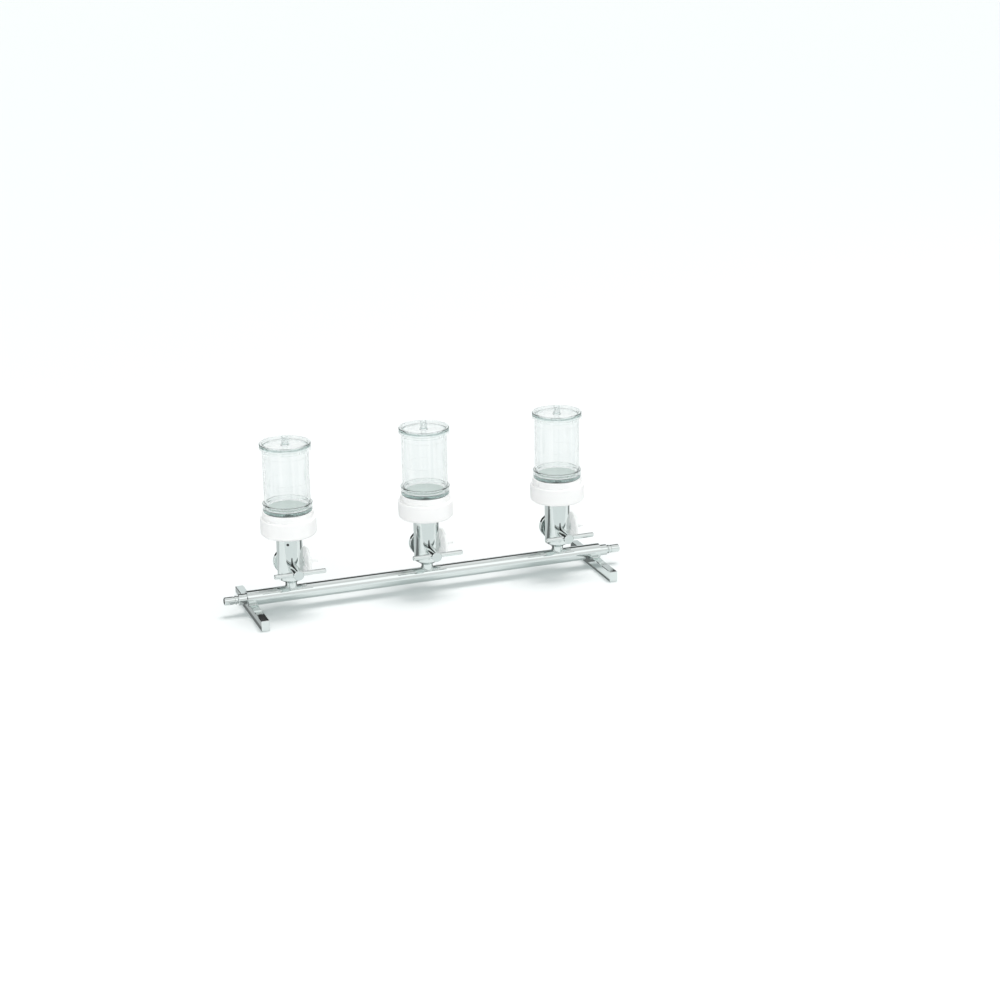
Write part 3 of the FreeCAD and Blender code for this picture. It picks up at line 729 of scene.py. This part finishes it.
wire(direction.outputs["Generated"], toward_screen.inputs[0])
wire(toward_screen.outputs["Value"], screen_patch.inputs["Value"])
wire(screen_patch.outputs["Result"], patched.inputs["Factor"])
wire(bands.outputs["Color"], patched.inputs["A"])
wire(patched.outputs["Result"], tent.inputs["Color"])
wire(direction.outputs["Generated"], toward_viewer.inputs[0])
wire(toward_viewer.outputs["Value"], viewer_patch.inputs["Value"])
wire(viewer_patch.outputs["Result"], tent.inputs["Strength"])
wire(path.outputs["Is Glossy Ray"], for_mirrors.inputs["Fac"])
wire(plain.outputs["Background"], for_mirrors.inputs[1])
wire(tent.outputs["Background"], for_mirrors.inputs[2])
wire(path.outputs["Is Camera Ray"], seen.inputs[0])
wire(path.outputs["Is Transmission Ray"], seen.inputs[1])
wire(seen.outputs["Value"], for_camera.inputs["Fac"])
wire(for_mirrors.outputs["Shader"], for_camera.inputs[1])
wire(white.outputs["Background"], for_camera.inputs[2])
wire(for_camera.outputs["Shader"], output.inputs["Surface"])
print("world made with", len(tent_bands), "bands")

# %% [markdown]
# ## Lamps
#
# The shadows lie almost straight under the pipe and are soft, so the key light
# comes from a wide pale ceiling. A sun lamp with a large angle gives that light
# evenly over the whole floor. A screen to the left of the camera lights the white
# bases from the viewer's side, and a small weaker one fills them from the right.
# The mirrors don't see the lamps: they see the painted tent.

# %% Lamps
def aim_lamp(name, kind, energy, color, place, aim):
    """A lamp at place that points at aim and stays out of the mirrors."""
    data = bpy.data.lights.new(name, kind)
    data.energy = energy
    data.color = color
    lamp = bpy.data.objects.new(name, data)
    lamp.location = place
    lamp.rotation_mode = "QUATERNION"
    lamp.rotation_quaternion = (Vector(aim) - Vector(place)).to_track_quat("-Z", "Y")
    lamp.visible_glossy = False
    lamp.visible_transmission = False
    bpy.context.scene.collection.objects.link(lamp)
    return data


warm_white = (1.0, 0.98, 0.98)
pure_white = (1.0, 1.0, 1.0)
on_floor = (0.0, 0.0, 0.0)
on_valves = (0.0, 0.0, 0.1)
ceiling = aim_lamp("ceiling_light", "SUN", 2.0, warm_white, (0.45, 0.22, 2.0), on_floor)
ceiling.angle = math.radians(30)
front_screen = aim_lamp("front_screen", "AREA", 24.0, pure_white, (-1.2, -2.5, 1.0), on_valves)
front_screen.shape = "SQUARE"
front_screen.size = 1.6
side_screen = aim_lamp("side_screen", "AREA", 10.0, pure_white, (2.4, -0.6, 0.75), on_valves)
side_screen.shape = "SQUARE"
side_screen.size = 0.9

# %% [markdown]
# ## Camera
#
# The camera's place was worked out from the photograph, on the round edges of the
# three funnels and on the pipe, so that the render lies over the photograph. Its
# long lens stands about two and a half metres away and looks down by 18 degrees.

# %% Camera at the photograph's view
camera_place = Vector((-0.70178, -2.15486, 0.83840))
camera_yaw = math.radians(20.14)
camera_pitch = math.radians(17.96)
camera_roll = math.radians(-0.79)
camera_lens = 76.83

forward = Vector((math.sin(camera_yaw) * math.cos(camera_pitch),
                  math.cos(camera_yaw) * math.cos(camera_pitch),
                  -math.sin(camera_pitch)))
level_right = Vector((math.cos(camera_yaw), -math.sin(camera_yaw), 0.0))
level_up = level_right.cross(forward)
right = level_right * math.cos(camera_roll) + level_up * math.sin(camera_roll)
up = level_up * math.cos(camera_roll) - level_right * math.sin(camera_roll)
camera_data = bpy.data.cameras.new("photo camera")
camera_data.lens = camera_lens
camera_data.sensor_width = 36.0
camera_data.sensor_fit = "HORIZONTAL"
camera = bpy.data.objects.new("photo camera", camera_data)
turned = Matrix((right, up, -forward)).transposed()
camera.matrix_world = Matrix.Translation(camera_place) @ turned.to_4x4()
bpy.context.scene.collection.objects.link(camera)
bpy.context.scene.camera = camera
bpy.context.scene.view_settings.view_transform = "Standard"
print("camera looks along", [round(value, 3) for value in forward])
